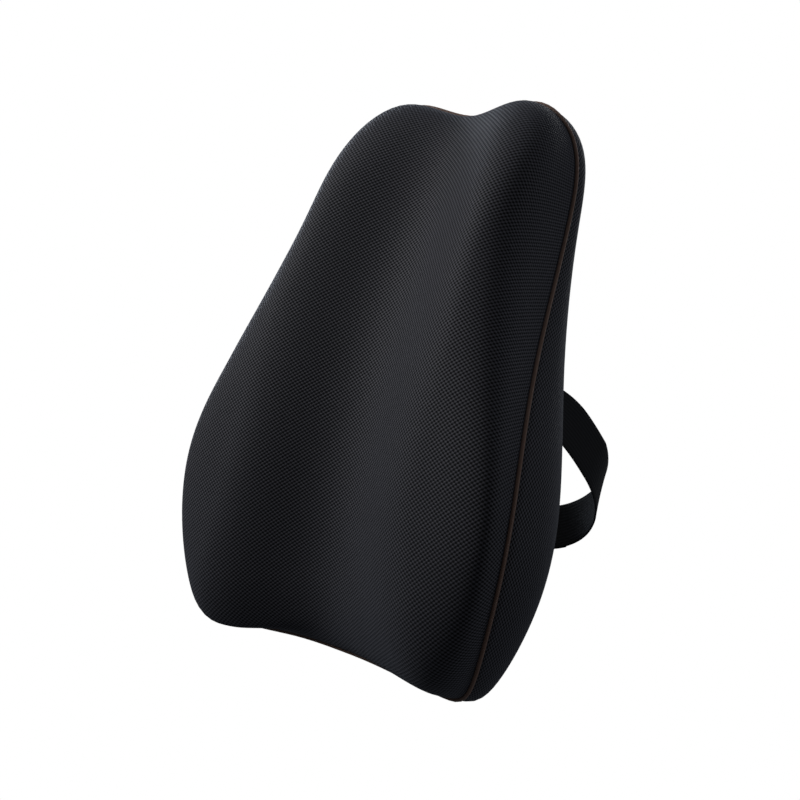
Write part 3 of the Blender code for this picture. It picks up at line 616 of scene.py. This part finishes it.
def build_piping(skin, cloth):
    """The corded bead, sitting in the groove between the front and the gusset."""
    middle = to_points(skin.line + skin.normals * PIPING_STAND_OFF, -skin.seam)
    tangents = np.roll(middle, -1, axis=0) - np.roll(middle, 1, axis=0)
    tangents /= np.linalg.norm(tangents, axis=1)[:, None]
    outward = to_points(skin.normals, 0.0) - (0, 0, BASE)
    outward -= (outward * tangents).sum(axis=1)[:, None] * tangents
    outward /= np.linalg.norm(outward, axis=1)[:, None]
    sideways = np.cross(tangents, outward)
    steps = 16
    turn = 2 * math.pi * np.arange(steps + 1) / steps
    along = lengths(np.vstack([middle, middle[:1]]))
    rows = []
    for i in [*range(COLUMNS), 0]:
        ring = [math.cos(a) * outward[i] + math.sin(a) * sideways[i] for a in turn[:-1]]
        rows.append([middle[i] + PIPING_RADIUS * direction for direction in ring])
    uv = [[(a * PIPING_RADIUS, along[i]) for a in turn] for i in range(COLUMNS + 1)]
    mesh = grid_mesh("piping_cord", rows, uv, around=True)
    shape = bmesh.new()
    shape.from_mesh(mesh)
    bmesh.ops.remove_doubles(shape, verts=shape.verts, dist=0.001 * MM)
    bmesh.ops.recalc_face_normals(shape, faces=shape.faces)
    shape.to_mesh(mesh)
    shape.free()
    cord = new_piece("piping_cord", mesh, cloth)
    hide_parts("front_piping")


# --- The strap ---


def rim_point(skin, height):
    ring = skin.back_ring(0)
    right = ring[(ring[:, 0] > 0) & (ring[:, 1] < HEIGHT * 0.9)]
    order = np.argsort(right[:, 1])
    return np.array([float(np.interp(height, right[order, 1], right[order, 0])), 0.0, height + BASE])


def seam_frame(skin, side):
    low = rim_point(skin, STRAP_HEIGHT - WEBBING_WIDTH / 2)
    high = rim_point(skin, STRAP_HEIGHT + WEBBING_WIDTH / 2)
    along = (high - low) / np.linalg.norm(high - low)
    normal = np.array([along[2], 0.0, -along[0]])
    middle = (low + high) / 2 - normal * (WEBBING_THICKNESS / 2 + 0.8 * MM)
    flip = np.array([side, 1, 1])
    return middle * flip, normal * flip


def hermite(share, start, start_slope, end, end_slope):
    t = np.clip(share, 0, 1)
    value = start * (1 - 3 * t**2 + 2 * t**3) + end * (3 * t**2 - 2 * t**3)
    return value + start_slope * (t - 2 * t**2 + t**3) + end_slope * (t**3 - t**2)


def back_run_ends(skin):
    middle, _ = seam_frame(skin, 1)
    right = middle[0] + STRAP_FLARE * (STRAP_REACH - RIGHT_CORNER) - RIGHT_CORNER
    left = middle[0] + STRAP_FLARE * (STRAP_REACH - LEFT_CORNER) - LEFT_CORNER
    return right, -left


def back_run_z(skin, x):
    right, _ = back_run_ends(skin)
    return STRAP_HEIGHT + BASE - RIGHT_DROP - (right - x) * BACK_RUN_SLOPE


def buckle_point(skin, x):
    across = math.cos(math.atan(BACK_RUN_SLOPE)) * x + BUCKLE_X
    return np.array([across, STRAP_REACH, back_run_z(skin, across)])


def strap_middle(skin, side, stop_x):
    corner = RIGHT_CORNER if side > 0 else LEFT_CORNER
    straight = STRAP_REACH - corner
    start, seam_normal = seam_frame(skin, side)
    run_x = back_run_ends(skin)[0 if side > 0 else 1]
    bend = corner * math.pi / 2
    drop = start[2] - back_run_z(skin, run_x)
    slope = BACK_RUN_SLOPE * side
    stops = np.concatenate([
        np.linspace(-STRAP_TUCK, straight, 41)[:-1],
        straight + np.linspace(0, bend, 61)[:-1],
        straight + bend + np.linspace(0, side * (run_x - stop_x), 25),
    ])
    turn = np.clip((stops - straight) / corner, 0, math.pi / 2)
    past = np.clip(stops - straight - bend, 0, None)
    x = side * (abs(start[0]) + STRAP_FLARE * np.minimum(np.clip(stops, 0, None), straight))
    x = x - side * (corner * (1 - np.cos(turn)) + past)
    y = np.minimum(stops, straight) + corner * np.sin(turn)
    fall = hermite(stops / (straight + bend), 0, 0, drop, slope * (straight + bend)) + slope * past
    points = np.stack([x, y, start[2] - fall], axis=1)
    flat_normal = np.stack([side * np.cos(turn), np.sin(turn), 0 * turn], axis=1)
    blend = ease(stops / (0.6 * straight))[:, None]
    return points, seam_normal * (1 - blend) + flat_normal * blend


def band_mesh(name, points, normals, width, thickness):
    """A woven band with rounded edges and closed ends along points, its faces square to normals."""
    tangents = np.gradient(points, axis=0)
    across = np.cross(normals, tangents)
    across /= np.linalg.norm(across, axis=1)[:, None]
    facing = np.cross(tangents, across)
    facing /= np.linalg.norm(facing, axis=1)[:, None]
    half = thickness / 2
    flat = width / 2 - half
    section = [(s * flat, half) for s in np.linspace(-1, 1, 11)]
    section += [(flat + half * math.sin(a), half * math.cos(a)) for a in np.radians((45, 90, 135))]
    section += [(-s * flat, -half) for s in np.linspace(-1, 1, 11)]
    section += [(-flat - half * math.sin(a), -half * math.cos(a)) for a in np.radians((45, 90, 135))]
    along = lengths(points)
    around = lengths(np.array([(*p, 0) for p in section + section[:1]]))
    rows = [[p + a * u + f * v for u, v in section] for p, a, f in zip(points, across, facing)]
    uv = [[(s, w) for w in around] for s in along]
    mesh = grid_mesh(name, rows, uv, around=True)
    shape = bmesh.new()
    shape.from_mesh(mesh)
    shape.verts.ensure_lookup_table()
    count = len(section)
    shape.faces.new(shape.verts[:count])
    shape.faces.new(shape.verts[-count:])
    bmesh.ops.recalc_face_normals(shape, faces=shape.faces)
    shape.to_mesh(mesh)
    shape.free()
    return mesh


def strap_route(skin, side, bar_x, tail):
    """Points and facing directions of one half strap, and where its outer layer starts."""
    bar = buckle_point(skin, bar_x)
    turn_radius = BAR_SIZE / math.sqrt(2) + GAP + WEBBING_THICKNESS / 2
    points, normals = strap_middle(skin, side, bar[0])
    to_bar = lengths(points)[-1] - lengths(points)
    length = to_bar[0]
    run = points[-2] - points[-1]
    run /= np.linalg.norm(run)
    keep = to_bar > TURN_LENGTH
    close = TURN_LENGTH * np.linspace(1, 0.05, 9)
    points = np.vstack([points[keep], points[-1] + close[:, None] * run])
    normals = np.vstack([normals[keep], np.repeat(normals[-1:], len(close), axis=0)])
    to_bar = np.append(to_bar[keep], close)
    doubled = ease((length - to_bar) / (0.4 * length))
    opened = ease(1 - to_bar / TURN_LENGTH)
    offset = (LAYER_OFFSET * doubled + (turn_radius - LAYER_OFFSET) * opened)[:, None]
    unit = normals / np.linalg.norm(normals, axis=1)[:, None]
    inner = points - unit * offset
    outer = points + unit * offset
    angles = np.radians(np.linspace(-90, 90, 19))
    bar_normals = np.array([math.sin(a) * unit[-1] - math.cos(a) * run for a in angles])
    back = (to_bar < tail).nonzero()[0][::-1]
    route = np.vstack([inner, bar + turn_radius * bar_normals, outer[back]])
    faces = np.vstack([-unit, bar_normals, unit[back]])
    return route, faces, outer[back], unit[back]


def stitch_mesh(name, starts, ends, facing, radius=0.28 * MM):
    """Small rounded stitches, each from a start to an end, standing proud along facing."""
    shape = bmesh.new()
    for a, b, f in zip(starts, ends, facing):
        a, b, f = Vector(a), Vector(b), Vector(f).normalized()
        along = b - a
        side = along.cross(f).normalized()
        rings = []
        for share, size in ((0.0, 0.35), (0.12, 0.9), (0.5, 1.1), (0.88, 0.9), (1.0, 0.35)):
            centre = a + along * share + f * radius * (1.4 * math.sin(math.pi * share) - 0.5)
            rings.append([
                shape.verts.new(centre + radius * size * (math.cos(t) * side + math.sin(t) * f))
                for t in np.linspace(0, 2 * math.pi, 6, endpoint=False)
            ])
        for first, second in zip(rings, rings[1:]):
            for i in range(6):
                j = (i + 1) % 6
                shape.faces.new((first[i], first[j], second[j], second[i]))
        shape.faces.new(rings[0][::-1])
        shape.faces.new(rings[-1])
    bmesh.ops.recalc_face_normals(shape, faces=shape.faces)
    for face in shape.faces:
        face.smooth = True
    mesh = bpy.data.meshes.new(name)
    shape.to_mesh(mesh)
    shape.free()
    return mesh


def stitched_line(points, normals, pitch=3.2 * MM, length=2.5 * MM):
    """Starts, ends and facings of the stitches along a line of points."""
    along = lengths(np.array(points))
    count = int(along[-1] / pitch)
    places = [(k + 0.5) * pitch for k in range(count)]

    def at(distance, values):
        return np.stack([np.interp(distance, along, np.array(values)[:, k]) for k in range(3)], axis=-1)

    starts = [at(p - length / 2, points) for p in places]
    ends = [at(p + length / 2, points) for p in places]
    return starts, ends, [at(p, normals) for p in places]


def build_straps(skin, cloth, sewing):
    for name, side, bar_x, tail in (
        ("strap_right", 1, SOCKET_BAR_X, RIGHT_RETURN),
        ("strap_left", -1, PLUG_BAR_X, LEFT_TAIL),
    ):
        route, faces, outer, unit = strap_route(skin, side, bar_x, tail)
        mesh = band_mesh(f"{name}_webbing", route, faces, WEBBING_WIDTH, WEBBING_THICKNESS)
        band = new_piece(f"{name}_webbing", mesh, cloth)
        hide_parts(name)
        tangents = np.gradient(outer, axis=0)
        across = np.cross(unit, tangents)
        across /= np.linalg.norm(across, axis=1)[:, None]
        top = outer + unit * WEBBING_THICKNESS / 2
        picked = slice(10, len(outer) - 1) if side > 0 else slice(len(outer) - 5, len(outer))
        starts, ends, facing = [], [], []
        edge = WEBBING_WIDTH / 2 - 3 * MM
        lines = []
        if side > 0:
            low, high = top[picked] - across[picked] * edge, top[picked] + across[picked] * edge
            flat = unit[picked]
            lines += [(low, flat), (high, flat)]
            lines += [(np.linspace(low[0], high[-1], 12), np.repeat(flat[:1], 12, axis=0))]
            lines += [(np.linspace(low[-1], high[0], 12), np.repeat(flat[:1], 12, axis=0))]
            lines += [(np.linspace(low[k], high[k], 12), np.repeat(flat[:1], 12, axis=0)) for k in (0, -1)]
        else:
            for k in (-2, -4):
                ends_of_row = top[k] - across[k] * edge, top[k] + across[k] * edge
                lines += [(np.linspace(*ends_of_row, 12), np.repeat(unit[k:k + 1], 12, axis=0))]
        for points, normals in lines:
            for found, total in zip(stitched_line(points, normals), (starts, ends, facing)):
                total.extend(found)
        mesh = stitch_mesh(f"{name}_stitching", starts, ends, facing)
        new_piece(f"{name}_stitching", mesh, sewing)


# --- Zip and small details ---


def build_zip_details(skin, sewing):
    """Two rows of stitches on each side of the zip."""
    zip_z = ZIP_HEIGHT + BASE
    starts, ends, facing = [], [], []
    for side in (1, -1):
        for away in (2.6 * MM, 8.5 * MM):
            z = zip_z + side * (ZIP_SLOT / 2 + away)
            half = rim_point(skin, z - BASE)[0] - 4 * MM
            points = np.stack([np.linspace(-half, half, 80), np.full(80, 0.3 * MM), np.full(80, z)], axis=1)
            normals = np.tile((0, 1, 0), (80, 1))
            for found, total in zip(stitched_line(points, normals), (starts, ends, facing)):
                total.extend(found)
    mesh = stitch_mesh("zip_stitching", starts, ends, facing)
    new_piece("zip_stitching", mesh, sewing)


def repaint(node, material):
    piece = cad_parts[node]
    for index in range(len(piece.material_slots)):
        piece.material_slots[index].material = material


# --- Camera, lights and backdrop ---


def look_from(azimuth, elevation):
    a, e = math.radians(azimuth), math.radians(elevation)
    return Vector((math.sin(a) * math.cos(e), -math.cos(a) * math.cos(e), math.sin(e)))


def make_camera():
    away = look_from(41.85, -4.32)
    roll = math.radians(13.88)
    target = Vector((0.0083, -0.05, -0.0214))
    right = (-away).cross(Vector(UP)).normalized()
    up = right.cross(-away)
    across = right * math.cos(roll) + up * math.sin(roll)
    upward = up * math.cos(roll) - right * math.sin(roll)
    data = bpy.data.cameras.new("camera")
    data.sensor_width = 36
    data.lens = 56.69
    data.clip_end = 200
    camera = bpy.data.objects.new("camera", data)
    camera.matrix_world = Matrix.Translation(target + away * 1.0023) @ Matrix(
        (across, upward, away)
    ).transposed().to_4x4()
    bpy.context.scene.collection.objects.link(camera)
    bpy.context.scene.camera = camera


def area_light(name, direction, distance, size, power, colour):
    data = bpy.data.lights.new(name, "AREA")
    data.shape = "RECTANGLE"
    data.size, data.size_y = size
    data.energy = power
    data.color = colour
    light = bpy.data.objects.new(name, data)
    light.location = direction.normalized() * distance
    light.rotation_euler = direction.to_track_quat("Z", "Y").to_euler()
    bpy.context.scene.collection.objects.link(light)


def make_lights():
    area_light("key", look_from(-48, 22), 1.9, (0.8, 1.3), 21, (1.0, 0.99, 0.98))
    area_light("fill", look_from(75, 10), 2.4, (1.2, 1.8), 2.2, (1, 1, 1))
    area_light("rim_left", look_from(-105, 25), 1.8, (0.5, 1.4), 9, (0.80, 0.88, 1.0))
    area_light("top", look_from(20, 82), 1.9, (1.0, 1.0), 2.5, (0.92, 0.95, 1.0))
    area_light("rim_right", look_from(130, 15), 2.0, (0.5, 1.4), 3.5, (0.9, 0.94, 1.0))
    area_light("behind", look_from(196, 35), 2.4, (1.4, 1.4), 12, (0.97, 0.98, 1.0))


def make_stage():
    """A white floor and backdrop that only the camera sees, and a grey world for soft light."""
    white = bpy.data.materials.new("backdrop_white")
    white.use_nodes = True
    tree = white.node_tree
    tree.nodes.clear()
    glow = tree.nodes.new("ShaderNodeEmission")
    glow.inputs["Color"].default_value = (1, 1, 1, 1)
    output = tree.nodes.new("ShaderNodeOutputMaterial")
    tree.links.new(glow.outputs[0], output.inputs["Surface"])
    for name, height in (("floor", BASE - 0.02), ("backdrop", 0)):
        shape = bmesh.new()
        if name == "floor":
            bmesh.ops.create_circle(shape, cap_ends=True, segments=48, radius=11)
        else:
            bmesh.ops.create_uvsphere(shape, u_segments=24, v_segments=12, radius=12)
        mesh = bpy.data.meshes.new(name)
        shape.to_mesh(mesh)
        shape.free()
        mesh.materials.append(white)
        made = bpy.data.objects.new(name, mesh)
        made.location.z = height
        for ray in ("diffuse", "glossy", "transmission", "volume_scatter", "shadow"):
            setattr(made, f"visible_{ray}", False)
        bpy.context.scene.collection.objects.link(made)
    world = bpy.data.worlds.new("studio")
    world.use_nodes = True
    world.node_tree.nodes["Background"].inputs["Color"].default_value = (0.9, 0.93, 1.0, 1)
    world.node_tree.nodes["Background"].inputs["Strength"].default_value = 0.06
    bpy.context.scene.world = world
    bpy.context.scene.view_settings.view_transform = "Standard"


make_camera()
make_lights()
make_stage()

air_mesh = mesh_fabric()
sewing_thread = thread("sewing_thread", (0.030, 0.030, 0.034))
body_skin = Skin()
build_front(body_skin, air_mesh)
build_gusset(body_skin, air_mesh)
build_back(body_skin, air_mesh)
build_piping(body_skin, piping_cloth())
build_straps(body_skin, webbing_cloth(), sewing_thread)
build_zip_details(body_skin, sewing_thread)
repaint("foam_core", memory_foam())
repaint("foam_liner", liner_knit())
plastic, metal, coil, tape = moulded_plastic(), dark_metal(), zip_plastic(), zip_tape()
for node in ("buckle_socket", "buckle_plug", "buckle_prong_upper", "buckle_prong_lower", "strap_adjuster"):
    repaint(node, plastic)
for node in ("zipper_slider", "zipper_pull", "zipper_stop_closed", "zipper_stop_open"):
    repaint(node, metal)
for half in ("upper", "lower"):
    repaint(f"zipper_chain_{half}", coil)
    repaint(f"zipper_tape_{half}", tape)
repaint("care_label", label_cloth())
